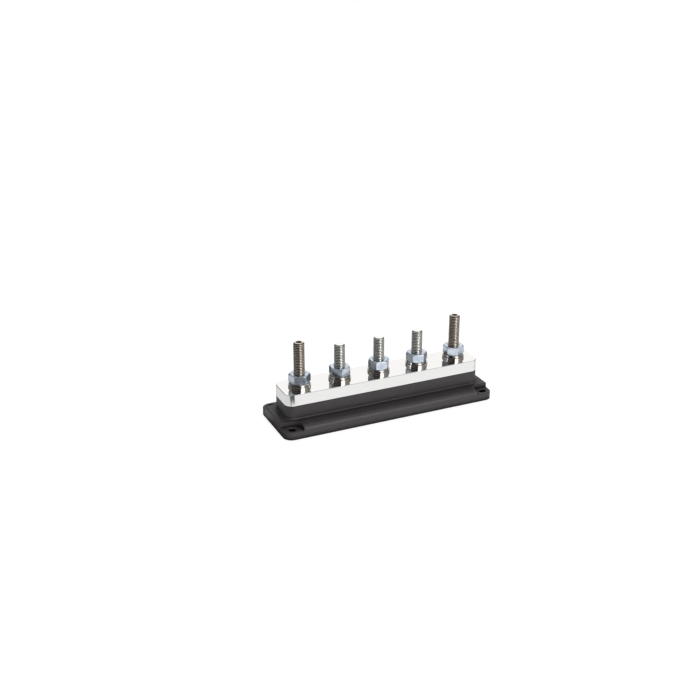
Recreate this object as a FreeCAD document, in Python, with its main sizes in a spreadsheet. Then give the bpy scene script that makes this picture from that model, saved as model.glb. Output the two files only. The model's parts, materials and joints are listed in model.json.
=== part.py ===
import FreeCAD, Part
import os
import Sketcher
from FreeCAD import Placement, Rotation, Vector

# Bus bar with five threaded studs on a black moulded base. Millimetres, Z up.
# X runs along the bar, and the origin is the middle of the underside.

doc = FreeCAD.newDocument("BusBar")

# Sizes
# A row is a driving dimension, or a formula that ties one dimension to others. Sketches and
# features refer to both by name.

STUD_COUNT = 5

SIZES = {
    # studs along the bar
    "stud_pitch": 38.0,
    "stud_diameter": 10.0,
    "stud_tip_chamfer": 1.1,
    "short_stud_free": 20.8,
    "long_stud_free": 29.0,
    "tapped_hole_diameter": 4.2,
    "tapped_hole_depth": 12.0,
    "tapped_hole_cone": 1.3,
    "tapped_hole_mouth": 0.6,
    # hexagon of the nuts and of the studs' heads, in the proportions of metric hardware
    "across_flats": "=stud_diameter * 1.7",
    "across_corners": "=across_flats / cos(30 deg)",
    "hexagon_land": "=across_flats * 0.4765",
    "head_height": "=stud_diameter * 0.64",
    "nut_height": "=stud_diameter * 0.8",
    "nut_bore_clearance": 0.05,
    "nut_bore_mouth": 0.45,
    # washers
    "washer_clearance": 0.35,
    "washer_hole_diameter": "=stud_diameter + 2 * washer_clearance",
    "flat_washer_ring": "=stud_diameter * 0.465",
    "flat_washer_thickness": 2.0,
    "flat_washer_chamfer": 0.3,
    "flat_washer_diameter": "=washer_hole_diameter + 2 * flat_washer_ring",
    "spring_washer_ring": "=stud_diameter * 0.37",
    "spring_washer_thickness": 2.2,
    "spring_washer_slit": 0.9,
    "spring_washer_slant": 1.4,
    "spring_washer_diameter": "=washer_hole_diameter + 2 * spring_washer_ring",
    # flat bar
    "bar_end": 18.0,
    "bar_length": "=stud_pitch * %d + 2 * bar_end" % (STUD_COUNT - 1),
    "bar_width": 32.3,
    "bar_thickness": 10.7,
    "bar_corner_radius": 7.0,
    "bar_edge_break": 0.4,
    "bar_hole_clearance": 0.5,
    # plinth and island of the base
    "foot_height": 7.0,
    "foot_step": 4.0,
    "island_rise": 12.3,
    "island_draft": 0.5,
    "island_spread": "=island_rise * tan(island_draft * 1 deg)",
    "end_ledge": 7.5,
    "side_ledge": 15.6,
    "base_corner_radius": 8.0,
    "ledge_round": "=foot_step * 0.9",
    "ledge_end_round": 1.0,
    "island_foot_round": 1.2,
    "foot_edge_break": 0.6,
    "ledge_height": "=foot_height + foot_step",
    "deck_height": "=ledge_height + island_rise",
    "base_length": "=bar_length + 2 * end_ledge",
    "base_width": "=bar_width + 2 * side_ledge",
    # corner recesses and their mounting holes
    "recess_length": 17.0,
    "recess_strip": 2.4,
    "recess_radius": 7.5,
    "recess_x": "=base_length / 2 - recess_length",
    "recess_y": "=bar_width / 2 + recess_strip",
    "mounting_inset_x": 8.0,
    "mounting_inset_y": 6.75,
    "mounting_x": "=base_length / 2 - mounting_inset_x",
    "mounting_y": "=base_width / 2 - mounting_inset_y",
    "mounting_hole_diameter": 6.5,
    "mounting_hole_mouth": 0.9,
    # underside: pockets for the studs' heads, and cores between them
    "stud_hole_clearance": 0.2,
    "head_clearance": 0.15,
    "head_recess": 3.8,
    "head_seat": "=head_recess + head_height",
    "roof": 4.0,
    "boss_wall": 5.4,
    "island_wall": 5.15,
    "core_width": "=stud_pitch - across_corners - 2 * boss_wall",
    "core_span": "=bar_width - 2 * island_wall",
    "core_radius": "=core_width * 0.25",
    "side_core_wall": 4.0,
    "side_core_gap": 1.4,
    "side_core_rib": 8.0,
    "side_core_length": "=stud_pitch - side_core_rib",
    "side_core_width": "=side_ledge - side_core_wall - side_core_gap",
    "side_core_y": "=bar_width / 2 + side_core_gap + side_core_width / 2",
    # heights of the stack on the bar
    "bar_top": "=deck_height + bar_thickness",
    "spring_washer_seat": "=bar_top + flat_washer_thickness",
    "nut_seat": "=spring_washer_seat + spring_washer_thickness",
    "nut_top": "=nut_seat + nut_height",
}

sheet = doc.addObject("Spreadsheet::Sheet", "Sizes")
rows = {name: "B%d" % row for row, name in enumerate(SIZES, start=1)}
for name, cell in rows.items():
    sheet.set(cell.replace("B", "A"), name)
    sheet.setAlias(cell, name)
for name, value in SIZES.items():
    sheet.set(rows[name], str(value))
doc.recompute()

# Studs
# Counted from the left along the bar. The angles turn each nut and each spring washer about its stud.

STUDS = [
    {"number": 1, "free": "long_stud_free", "tapped": True, "nut_turn": 41.4, "slit_turn": 60.0},
    {"number": 2, "free": "short_stud_free", "tapped": False, "nut_turn": 20.1, "slit_turn": 235.0},
    {"number": 3, "free": "short_stud_free", "tapped": False, "nut_turn": 51.9, "slit_turn": 85.0},
    {"number": 4, "free": "short_stud_free", "tapped": False, "nut_turn": 43.7, "slit_turn": 215.0},
    {"number": 5, "free": "long_stud_free", "tapped": True, "nut_turn": 27.2, "slit_turn": 140.0},
]

# No two places that matter are as close as this.
NEAR = 0.01


# Bodies, features and sketches


def origin_feature(body, role):
    """One of the body's own origin planes or axes."""
    return next(f for f in body.Origin.OriginFeatures if f.Role == role)


def new_body(label):
    """An empty body whose label names the part and its file."""
    body = doc.addObject("PartDesign::Body", label)
    body.Label = label
    return body


def new_feature(body, kind, name, **settings):
    """A PartDesign feature. Text that starts with = is an expression, and the rest are plain values."""
    feature = body.newObject("PartDesign::" + kind, name)
    for key, value in settings.items():
        if isinstance(value, str) and value.startswith("="):
            feature.setExpression(key, value[1:])
        else:
            setattr(feature, key, value)
    doc.recompute()
    return feature


def new_sketch(body, name, plane="XY_Plane", height=None):
    """An empty sketch on one of the body's own origin planes, raised by an expression."""
    sketch = body.newObject("Sketcher::SketchObject", name)
    sketch.AttachmentSupport = (origin_feature(body, plane), [""])
    sketch.MapMode = "FlatFace"
    if height:
        sketch.setExpression("AttachmentOffset.Base.z", height)
    return sketch


def hold(sketch, geometry, point, x, y):
    """Holds a point of a sketch at two expressions, or on an axis where one is zero."""
    for kind, axis, expression in (("DistanceX", -2, x), ("DistanceY", -1, y)):
        if expression == "0":
            sketch.addConstraint(Sketcher.Constraint("PointOnObject", geometry, point, axis))
        else:
            constraint = Sketcher.Constraint(kind, -1, 1, geometry, point, 1.0)
            number = sketch.addConstraint(constraint)
            sketch.setExpression("Constraints[%d]" % number, expression)


def polygon(sketch, corners):
    """Draws a closed outline through corners that are pairs of expressions."""
    count = len(corners)
    start = [Rotation(Vector(0, 0, 1), 360 * i / count).multVec(Vector(1, 0, 0)) for i in range(count)]
    lines = []
    for i in range(count):
        segment = Part.LineSegment(start[i], start[(i + 1) % count])
        lines.append(sketch.addGeometry(segment, False))
    for i in range(count):
        following = lines[(i + 1) % count]
        sketch.addConstraint(Sketcher.Constraint("Coincident", lines[i], 2, following, 1))
    for line, (x, y) in zip(lines, corners):
        hold(sketch, line, 1, x, y)
    doc.recompute()
    return sketch


def rectangle(sketch, length, width, x="0", y="0"):
    """Draws a rectangle about a centre."""
    left = "%s - (%s) / 2" % (x, length)
    right = "%s + (%s) / 2" % (x, length)
    front = "%s - (%s) / 2" % (y, width)
    back = "%s + (%s) / 2" % (y, width)
    return polygon(sketch, [(left, front), (right, front), (right, back), (left, back)])


def circles(sketch, diameter, centres=(("0", "0"),)):
    """Draws a circle of one diameter about each centre."""
    for x, y in centres:
        index = sketch.addGeometry(Part.Circle(Vector(0, 0, 0), Vector(0, 0, 1), 1.0), False)
        number = sketch.addConstraint(Sketcher.Constraint("Diameter", index, 2.0))
        sketch.setExpression("Constraints[%d]" % number, diameter)
        hold(sketch, index, 3, x, y)
    doc.recompute()
    return sketch


def hexagon(sketch, across_flats, x="0"):
    """Draws a hexagon on the sketch's X axis, with two of its flats along that axis."""
    reach = "(%s) / 2 / cos(30 deg)" % across_flats
    corners = []
    for angle in range(0, 360, 60):
        corner_x = "%s + %s * cos(%d deg)" % (x, reach, angle)
        corner_y = "0" if angle % 180 == 0 else "%s * sin(%d deg)" % (reach, angle)
        corners.append((corner_x, corner_y))
    return polygon(sketch, corners)


def edges(body, wanted):
    """The names of the body's edges that pass a test."""
    shape = body.Tip.Shape
    return ["Edge%d" % (i + 1) for i, edge in enumerate(shape.Edges) if wanted(edge)]


def dress(body, kind, name, wanted, size):
    """Rounds or chamfers every edge that passes a test, by an expression."""
    found = edges(body, wanted)
    if not found:
        raise RuntimeError("no edge was found for " + name)
    setting = "Radius" if kind == "Fillet" else "Size"
    return new_feature(body, kind, name, Base=(body.Tip, found), **{setting: "=" + size})


def spans_height(edge, low, high):
    """Whether an edge stands upright between two heights, or leans a little."""
    box = edge.BoundBox
    return abs(box.ZMin - low) < NEAR and abs(box.ZMax - high) < NEAR and box.XLength < 1 and box.YLength < 1


def lies_at(edge, height):
    """Whether an edge lies level at a height."""
    box = edge.BoundBox
    return abs(box.ZMin - height) < NEAR and abs(box.ZMax - height) < NEAR


def along_x(edge, height, y):
    """Whether an edge lies along X at a height, this far either side of the middle."""
    box = edge.BoundBox
    return lies_at(edge, height) and box.YLength < NEAR and abs(abs(box.YMin) - y) < NEAR


def along_y(edge, height, x):
    """Whether an edge lies along Y at a height, this far either side of the middle."""
    box = edge.BoundBox
    return lies_at(edge, height) and box.XLength < NEAR and abs(abs(box.XMin) - x) < NEAR


def mirrored_both_ways(body, name, originals):
    """Repeats features in the other three quarters of a body."""
    both = body.newObject("PartDesign::MultiTransform", name)
    both.Originals = originals
    steps = []
    for letter, plane in (("x", "YZ_Plane"), ("y", "XZ_Plane")):
        step = body.newObject("PartDesign::Mirrored", "%s_%s" % (name, letter))
        step.MirrorPlane = (origin_feature(body, plane), [""])
        steps.append(step)
    both.Transformations = steps
    body.Tip = both
    doc.recompute()


def row_along_x(body, name, originals, count):
    """Repeats features along X at the studs' pitch."""
    line = body.newObject("PartDesign::LinearPattern", name)
    line.Originals = originals
    line.Direction = (origin_feature(body, "X_Axis"), [""])
    line.setExpression("Length", "Sizes.stud_pitch * %d" % (count - 1))
    line.Occurrences = count
    body.Tip = line
    doc.recompute()


def turned(body, kind, name, corners):
    """Turns an outline of radii and heights about the body's Z axis, adding or cutting."""
    sketch = polygon(new_sketch(body, name + "_sketch", plane="XZ_Plane"), corners)
    axis = (sketch, ["V_Axis"])
    return new_feature(body, kind, name, Profile=sketch, ReferenceAxis=axis, Angle=360.0)


def turn_off_corners(body, name, end, inward):
    """Turns the corners of a hexagon off at one end, as on every hexagon nut and head.

    end is the height of that end, and inward is the sign of the way to the hexagon's middle.
    """
    inner = "Sizes.hexagon_land"
    outer = "Sizes.across_corners * 0.65"
    rise = "(%s - %s) * tan(30 deg)" % (outer, inner)
    turned(body, "Groove", name, [(inner, end), (outer, end), (outer, "%s %s %s" % (end, inward, rise))])


def stand(body, x, z, turn=0.0):
    """Places a body on the bar's middle line, turned about its own axis in degrees."""
    body.Placement = Placement(Vector(0, 0, 0), Rotation(Vector(0, 0, 1), turn))
    body.setExpression("Placement.Base.x", x)
    body.setExpression("Placement.Base.z", z)
    doc.recompute()


def size(name):
    """A size's present value, for the tests that pick edges."""
    return float(sheet.get(name))


# Where the first stud stands, and the first place half-way between two studs.
STUD_PLACES = ["Sizes.stud_pitch * %g" % (i - (STUD_COUNT - 1) / 2) for i in range(STUD_COUNT)]
FIRST_STUD = STUD_PLACES[0]
FIRST_BETWEEN = "Sizes.stud_pitch * %g" % (1 - STUD_COUNT / 2)


# Base
# One moulding: a plinth with a ledge all round, and an island on it that carries the bar.

base = new_body("base")
half_length = size("base_length") / 2
half_width = size("base_width") / 2
corner = size("base_corner_radius")
ledge = size("ledge_height")
deck = size("deck_height")
foot = size("foot_height")

plinth_sketch = rectangle(new_sketch(base, "plinth_sketch"), "Sizes.base_length", "Sizes.base_width")
new_feature(base, "Pad", "plinth", Profile=plinth_sketch, Length="=Sizes.ledge_height")
dress(base, "Fillet", "plinth_corners", lambda e: spans_height(e, 0, ledge), "Sizes.base_corner_radius")

# The island narrows a little from the ledge to the deck, as a moulding must to leave its tool.
# On the deck it has the bar's outline.
island_sketch = rectangle(
    new_sketch(base, "island_sketch", height="Sizes.ledge_height"),
    "Sizes.bar_length + 2 * Sizes.island_spread",
    "Sizes.bar_width + 2 * Sizes.island_spread",
)
new_feature(
    base,
    "Pad",
    "island",
    Profile=island_sketch,
    Length="=Sizes.island_rise",
    TaperAngle="=-Sizes.island_draft",
)
dress(base, "Fillet", "island_corners", lambda e: spans_height(e, ledge, deck), "Sizes.bar_corner_radius")

# Each corner steps down to a foot for a screw. One corner is cut, and then mirrored both ways.
beyond_x = "Sizes.base_length / 2 + 1"
beyond_y = "Sizes.base_width / 2 + 1"
recess_sketch = polygon(
    new_sketch(base, "recess_sketch", height="Sizes.foot_height"),
    [
        ("Sizes.recess_x", "Sizes.recess_y"),
        (beyond_x, "Sizes.recess_y"),
        (beyond_x, beyond_y),
        ("Sizes.recess_x", beyond_y),
    ],
)
recess = new_feature(
    base, "Pocket", "recess", Profile=recess_sketch, Reversed=True, Length="=Sizes.foot_step + 1"
)
mirrored_both_ways(base, "recesses", [recess])


def is_recess_corner(edge):
    """Whether an edge is the upright inner corner of a recess."""
    box = edge.BoundBox
    at_x = abs(abs(box.XMin) - size("recess_x")) < NEAR
    at_y = abs(abs(box.YMin) - size("recess_y")) < NEAR
    return spans_height(edge, foot, ledge) and at_x and at_y


def is_foot_rim(edge):
    """Whether an edge is on the outside of a foot, at its top."""
    box = edge.BoundBox
    on_end = box.XLength < NEAR and abs(abs(box.XMin) - half_length) < NEAR
    on_side = box.YLength < NEAR and abs(abs(box.YMin) - half_width) < NEAR
    round_corner = abs(box.XLength - corner) < NEAR and abs(box.YLength - corner) < NEAR
    return lies_at(edge, foot) and (on_end or on_side or round_corner)


# The ledge's long edges are well rounded. Its ends and the feet are only broken.
dress(base, "Fillet", "recess_corners", is_recess_corner, "Sizes.recess_radius")
dress(base, "Fillet", "ledge_sides", lambda e: along_x(e, ledge, half_width), "Sizes.ledge_round")
dress(base, "Fillet", "ledge_ends", lambda e: along_y(e, ledge, half_length), "Sizes.ledge_end_round")
dress(
    base,
    "Fillet",
    "island_foot",
    lambda e: along_x(e, ledge, size("bar_width") / 2 + size("island_spread")),
    "Sizes.island_foot_round",
)
dress(base, "Chamfer", "foot_rims", is_foot_rim, "Sizes.foot_edge_break")

# Mounting holes, countersunk a little at the top.
mounting_places = []
for sign_x in ("", "-"):
    for sign_y in ("", "-"):
        mounting_places.append((sign_x + "Sizes.mounting_x", sign_y + "Sizes.mounting_y"))
mounting_sketch = circles(
    new_sketch(base, "mounting_sketch", height="Sizes.foot_height"),
    "Sizes.mounting_hole_diameter",
    mounting_places,
)
new_feature(
    base,
    "Hole",
    "mounting_holes",
    Profile=mounting_sketch,
    Diameter="=Sizes.mounting_hole_diameter",
    DepthType="ThroughAll",
    HoleCutType="Countersink",
    HoleCutCustomValues=True,
    HoleCutDiameter="=Sizes.mounting_hole_diameter + 2 * Sizes.mounting_hole_mouth",
    HoleCutCountersinkAngle=90.0,
)

# Stud holes through the island, with hexagonal pockets beneath that keep the studs from turning.
stud_hole_sketch = circles(
    new_sketch(base, "stud_hole_sketch", height="Sizes.deck_height"),
    "Sizes.stud_diameter + 2 * Sizes.stud_hole_clearance",
    [(FIRST_STUD, "0")],
)
stud_hole = new_feature(base, "Pocket", "stud_hole", Profile=stud_hole_sketch, Type="ThroughAll")
row_along_x(base, "stud_holes", [stud_hole], STUD_COUNT)
head_pocket_sketch = hexagon(
    new_sketch(base, "head_pocket_sketch"),
    "Sizes.across_flats + 2 * Sizes.head_clearance",
    FIRST_STUD,
)
head_pocket = new_feature(
    base, "Pocket", "head_pocket", Profile=head_pocket_sketch, Reversed=True, Length="=Sizes.head_seat"
)
row_along_x(base, "head_pockets", [head_pocket], STUD_COUNT)

# The underside is cored between the studs and under the side ledges, so that no wall is too thick to mould.
core_sketch = rectangle(new_sketch(base, "core_sketch"), "Sizes.core_width", "Sizes.core_span", FIRST_BETWEEN)
core = new_feature(
    base, "Pocket", "core", Profile=core_sketch, Reversed=True, Length="=Sizes.deck_height - Sizes.roof"
)
row_along_x(base, "cores", [core], STUD_COUNT - 1)
side_core_sketch = new_sketch(base, "side_core_sketch")
for side in ("Sizes.side_core_y", "-Sizes.side_core_y"):
    rectangle(side_core_sketch, "Sizes.side_core_length", "Sizes.side_core_width", FIRST_BETWEEN, side)
side_core = new_feature(
    base,
    "Pocket",
    "side_core",
    Profile=side_core_sketch,
    Reversed=True,
    Length="=Sizes.ledge_height - Sizes.roof",
)
row_along_x(base, "side_cores", [side_core], STUD_COUNT - 1)


def is_core_corner(edge):
    """Whether an edge is an upright corner of a core in the underside."""
    inside = abs(edge.BoundBox.Center.x) < size("recess_x")
    deep = spans_height(edge, 0, deck - size("roof"))
    shallow = spans_height(edge, 0, ledge - size("roof"))
    return inside and (deep or shallow)


dress(base, "Fillet", "core_corners", is_core_corner, "Sizes.core_radius")


# Bar
# A thick flat bar with the island's outline, its corners rounded and its edges broken.

bar = new_body("bus_bar")
thickness = size("bar_thickness")
bar_sketch = rectangle(new_sketch(bar, "bar_sketch"), "Sizes.bar_length", "Sizes.bar_width")
new_feature(bar, "Pad", "bar", Profile=bar_sketch, Length="=Sizes.bar_thickness")
dress(bar, "Fillet", "bar_corners", lambda e: spans_height(e, 0, thickness), "Sizes.bar_corner_radius")
dress(
    bar, "Chamfer", "bar_edges", lambda e: lies_at(e, 0) or lies_at(e, thickness), "Sizes.bar_edge_break"
)
bar_hole_sketch = circles(
    new_sketch(bar, "bar_hole_sketch", height="Sizes.bar_thickness"),
    "Sizes.stud_diameter + 2 * Sizes.bar_hole_clearance",
    [(FIRST_STUD, "0")],
)
bar_hole = new_feature(bar, "Pocket", "bar_hole", Profile=bar_hole_sketch, Type="ThroughAll")
row_along_x(bar, "bar_holes", [bar_hole], STUD_COUNT)
stand(bar, "0", "Sizes.deck_height")


# Hardware
# Five sets of stud, flat washer, spring washer and nut.


def add_stud(label, free, tapped):
    """A hexagon-headed stud, drawn with the seat of its head at the origin."""
    body = new_body(label)
    head_end = "-Sizes.head_height"
    head_sketch = hexagon(new_sketch(body, label + "_head_sketch", height=head_end), "Sizes.across_flats")
    new_feature(body, "Pad", label + "_head", Profile=head_sketch, Length="=Sizes.head_height")
    turn_off_corners(body, label + "_head_corners", head_end, "+")
    radius = "Sizes.stud_diameter / 2"
    length = "Sizes.nut_top + Sizes.%s - Sizes.head_seat" % free
    corners = [
        ("0", "0"),
        (radius, "0"),
        (radius, length + " - Sizes.stud_tip_chamfer"),
        (radius + " - Sizes.stud_tip_chamfer", length),
    ]
    if tapped:
        hole = "Sizes.tapped_hole_diameter / 2"
        bottom = length + " - Sizes.tapped_hole_depth"
        corners.append((hole + " + Sizes.tapped_hole_mouth", length))
        corners.append((hole, length + " - Sizes.tapped_hole_mouth"))
        corners.append((hole, bottom))
        corners.append(("0", bottom + " - Sizes.tapped_hole_cone"))
    else:
        corners.append(("0", length))
    turned(body, "Revolution", label + "_shank", corners)
    return body


def add_nut(label):
    """A hexagon nut, drawn with its underside at the origin."""
    body = new_body(label)
    nut_sketch = hexagon(new_sketch(body, label + "_sketch"), "Sizes.across_flats")
    new_feature(body, "Pad", label + "_block", Profile=nut_sketch, Length="=Sizes.nut_height")
    turn_off_corners(body, label + "_lower_corners", "0", "+")
    turn_off_corners(body, label + "_upper_corners", "Sizes.nut_height", "-")
    bore = "Sizes.stud_diameter / 2 + Sizes.nut_bore_clearance"
    mouth = bore + " + Sizes.nut_bore_mouth"
    corners = [
        ("0", "0"),
        (mouth, "0"),
        (bore, "Sizes.nut_bore_mouth"),
        (bore, "Sizes.nut_height - Sizes.nut_bore_mouth"),
        (mouth, "Sizes.nut_height"),
        ("0", "Sizes.nut_height"),
    ]
    turned(body, "Groove", label + "_bore", corners)
    return body


def add_ring(label, diameter, height):
    """A flat ring on the origin, as both kinds of washer start."""
    body = new_body(label)
    ring_sketch = circles(new_sketch(body, label + "_ring_sketch"), diameter)
    circles(ring_sketch, "Sizes.washer_hole_diameter")
    new_feature(body, "Pad", label + "_ring", Profile=ring_sketch, Length="=" + height)
    return body


def add_flat_washer(label):
    """A stamped washer, with its upper rim broken."""
    body = add_ring(label, "Sizes.flat_washer_diameter", "Sizes.flat_washer_thickness")
    top = size("flat_washer_thickness")
    reach = size("flat_washer_diameter")
    dress(
        body,
        "Chamfer",
        label + "_rim",
        lambda e: lies_at(e, top) and abs(e.BoundBox.XLength - reach) < NEAR,
        "Sizes.flat_washer_chamfer",
    )
    return body


def add_spring_washer(label):
    """A ring with a slanted slit through the side that faces along the body's Y axis."""
    body = add_ring(label, "Sizes.spring_washer_diameter", "Sizes.spring_washer_thickness")
    slope = "Sizes.spring_washer_slant / Sizes.spring_washer_thickness"
    middle = "Sizes.spring_washer_thickness / 2"
    reach = "Sizes.spring_washer_thickness"
    half = "Sizes.spring_washer_slit / 2"
    corners = [
        ("-%s * %s - %s" % (reach, slope, half), "%s - %s" % (middle, reach)),
        ("-%s * %s + %s" % (reach, slope, half), "%s - %s" % (middle, reach)),
        ("%s * %s + %s" % (reach, slope, half), "%s + %s" % (middle, reach)),
        ("%s * %s - %s" % (reach, slope, half), "%s + %s" % (middle, reach)),
    ]
    slit_sketch = polygon(new_sketch(body, label + "_slit_sketch", plane="XZ_Plane"), corners)
    new_feature(
        body, "Pocket", label + "_slit", Profile=slit_sketch, Length="=Sizes.spring_washer_diameter"
    )
    return body


for stud, place in zip(STUDS, STUD_PLACES):
    number = stud["number"]
    stand(add_stud("stud_%d" % number, stud["free"], stud["tapped"]), place, "Sizes.head_seat")
    stand(add_flat_washer("flat_washer_%d" % number), place, "Sizes.bar_top")
    spring_washer = add_spring_washer("spring_washer_%d" % number)
    stand(spring_washer, place, "Sizes.spring_washer_seat", stud["slit_turn"])
    stand(add_nut("nut_%d" % number), place, "Sizes.nut_seat", stud["nut_turn"])


# Files
# Each body is one part and one file, named by its label.

doc.recompute()
for item in doc.Objects:
    if "Invalid" in item.State or "Error" in item.State:
        raise RuntimeError("%s can't be made: %s" % (item.Label, item.State))

os.makedirs("parts", exist_ok=True)
for item in doc.Objects:
    if item.TypeId == "PartDesign::Body":
        shape = item.Shape
        if shape.isNull() or not shape.isValid():
            raise RuntimeError("%s has no valid shape" % item.Label)
        shape.exportStep("parts/%s.step" % item.Label)
        print("%s: %.0f cubic millimetres" % (item.Label, shape.Volume))
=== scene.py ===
# %% [markdown]
# # Bus bar with five studs
# A bus bar joins many cables at one place. This one is a thick plated bar on a black moulded base,
# with five threaded studs that each carry a flat washer, a spring washer and a nut.
#
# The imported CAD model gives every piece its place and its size. This script keeps the base and the
# bar as they are and gives them a finish. It makes the studs, the washers and the nuts again with
# real screw threads and softened edges, which would be too fine for the solids.

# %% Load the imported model
import json
import math

import bmesh
import bpy
from mathutils import Matrix, Vector


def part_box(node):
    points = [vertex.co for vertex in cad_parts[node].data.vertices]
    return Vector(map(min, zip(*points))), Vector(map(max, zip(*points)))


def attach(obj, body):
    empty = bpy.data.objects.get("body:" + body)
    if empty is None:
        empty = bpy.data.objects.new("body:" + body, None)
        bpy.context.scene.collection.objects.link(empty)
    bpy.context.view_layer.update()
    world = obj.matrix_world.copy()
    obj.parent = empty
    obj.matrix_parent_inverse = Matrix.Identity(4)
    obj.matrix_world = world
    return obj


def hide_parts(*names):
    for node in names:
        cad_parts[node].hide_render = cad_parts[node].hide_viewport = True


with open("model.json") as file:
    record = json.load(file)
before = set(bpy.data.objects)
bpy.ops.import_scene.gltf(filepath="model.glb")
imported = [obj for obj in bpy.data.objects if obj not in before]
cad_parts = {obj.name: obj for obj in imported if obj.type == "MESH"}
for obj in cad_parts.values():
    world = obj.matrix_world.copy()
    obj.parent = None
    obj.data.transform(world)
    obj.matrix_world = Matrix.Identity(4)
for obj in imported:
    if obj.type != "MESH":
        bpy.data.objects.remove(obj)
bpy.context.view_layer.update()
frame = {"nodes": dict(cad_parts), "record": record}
MM = 0.001

# %% [markdown]
# ## Sizes
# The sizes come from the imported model, so that each piece made here fits the one that it stands
# for. The mounts give the studs' radius and the tapped holes, and the nodes' boxes the heights.

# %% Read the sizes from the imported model
STUDS = range(1, 6)
mounts = {mount["name"]: mount for mount in frame["record"]["mounts"]}
stud_radius = mounts["stud_end_1"]["dims"]["r_mm"] * MM
hole_radius = mounts["tapped_hole_1"]["dims"]["r_mm"] * MM
hole_depth = mounts["tapped_hole_1"]["dims"]["length_mm"] * MM
bar_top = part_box("bus_bar")[1][2]


def middle(node):
    """The place of a node's own axis, at the height of its underside."""
    low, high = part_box(node)
    return Vector(((low[0] + high[0]) / 2, (low[1] + high[1]) / 2, low[2]))


def height_of(node):
    """How tall a node is."""
    low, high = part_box(node)
    return high[2] - low[2]


def radius_of(node):
    """The radius of a round node."""
    low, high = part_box(node)
    return (high[0] - low[0]) / 2


print("stud radius %.2f mm, bar top at %.1f mm" % (stud_radius / MM, bar_top / MM))

# %% [markdown]
# ## Writing nodes
# Geometry trees and shader trees are both made of nodes. The first helpers feed a node's sockets
# and add a node. The next one adds a Math node for each sum, so that a formula can be read almost
# as it stands on paper. The others stretch a value from one range to another with a Map Range node,
# take a vector apart and put one together.

# %% Nodes, sums and vectors
def feed(tree, node, values):
    """Gives a node's sockets plain values or other nodes' results."""
    for label, value in values.items():
        if isinstance(value, bpy.types.NodeSocket):
            tree.links.new(value, node.inputs[label])
        else:
            node.inputs[label].default_value = value


def add_node(tree, kind, values, **settings):
    """Adds a node of a kind, with its settings, and feeds its sockets."""
    node = tree.nodes.new(kind)
    for label, setting in settings.items():
        setattr(node, label, setting)
    feed(tree, node, values)
    return node


def sum_writer(tree):
    """A function that adds one Math node to a tree and returns its result."""

    def write(operation, *terms):
        node = add_node(tree, "ShaderNodeMath", dict(enumerate(terms)), operation=operation)
        return node.outputs[0]

    return write


def add_spread(tree, value, low, high, to_low=0.0, to_high=1.0, smooth=False):
    """Stretches a value from one range to another, and keeps it inside."""
    node = tree.nodes.new("ShaderNodeMapRange")
    node.interpolation_type = "SMOOTHSTEP" if smooth else "LINEAR"
    feed(tree, node, {"Value": value, "From Min": low, "From Max": high})
    feed(tree, node, {"To Min": to_low, "To Max": to_high})
    return node.outputs["Result"]


def split(tree, vector):
    """A vector's parts along X, Y and Z."""
    return add_node(tree, "ShaderNodeSeparateXYZ", {0: vector}).outputs


def combine(tree, **parts):
    """A vector made of its parts along X, Y and Z."""
    return add_node(tree, "ShaderNodeCombineXYZ", parts).outputs[0]


# %% [markdown]
# ## A tree with named inputs
# Each geometry tree starts with its inputs and ends in Realize Instances and Set Material. A tree
# is run on an empty object, and its result is kept as a plain mesh.

# %% Start, finish and run a geometry tree
SOCKETS = {float: "NodeSocketFloat", int: "NodeSocketInt"}


def start_tree(name, **inputs):
    """A geometry tree with a named input for each size, and a finish."""
    tree = bpy.data.node_groups.new(name, "GeometryNodeTree")
    for label, value in inputs.items():
        kind = SOCKETS[type(value)]
        tree.interface.new_socket(label, in_out="INPUT", socket_type=kind).default_value = value
    tree.interface.new_socket("finish", in_out="INPUT", socket_type="NodeSocketMaterial")
    tree.interface.new_socket("mesh", in_out="OUTPUT", socket_type="NodeSocketGeometry")
    return tree, tree.nodes.new("NodeGroupInput").outputs


def finish_tree(tree, given, mesh):
    """Ends a tree in Realize Instances and Set Material."""
    real = add_node(tree, "GeometryNodeRealizeInstances", {0: mesh}).outputs[0]
    values = {"Geometry": real, "Material": given["finish"]}
    finished = add_node(tree, "GeometryNodeSetMaterial", values).outputs[0]
    add_node(tree, "NodeGroupOutput", {0: finished})
    return tree


def run_tree(tree, **values):
    """The plain mesh that a tree makes from these inputs."""
    holder = bpy.data.objects.new("holder", bpy.data.meshes.new("holder"))
    bpy.context.scene.collection.objects.link(holder)
    modifier = holder.modifiers.new("tree", "NODES")
    modifier.node_group = tree
    for item in tree.interface.items_tree:
        if item.in_out == "INPUT" and item.name in values:
            modifier[item.identifier] = values[item.name]
    bpy.context.view_layer.update()
    evaluated = holder.evaluated_get(bpy.context.evaluated_depsgraph_get())
    mesh = bpy.data.meshes.new_from_object(evaluated)
    holder.modifiers.remove(modifier)
    bpy.data.objects.remove(holder)
    return mesh


# %% [markdown]
# ## Screw threads
# The studs have a metric thread of 10 mm with a pitch of 1.5 mm. A thread is a ridge that climbs by
# one pitch in each turn, so its wall can be made from a flat grid: the columns go round the axis,
# and the rows climb with them. Twelve rows for each turn follow the ridge. A rolled thread has no
# sharp corners, so its section runs smoothly from the crest over the flank to the root.
#
# At each end the rows stop at the end's height, and a cone cuts the ridge off, as a chamfer does on
# a stud and a countersink in a nut. So both ends are plain circles that other pieces can join.

# %% A geometry tree for a thread's wall
ROWS_PER_TURN = 12
SPARE_TURNS = 4.0
# Where the flank begins and ends, from 0 on the crest to 1 in the root.
CREST = 0.08
ROOT = 0.86
SNAP = 0.02 * MM
SAME_POINT = 0.0005 * MM


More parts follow.
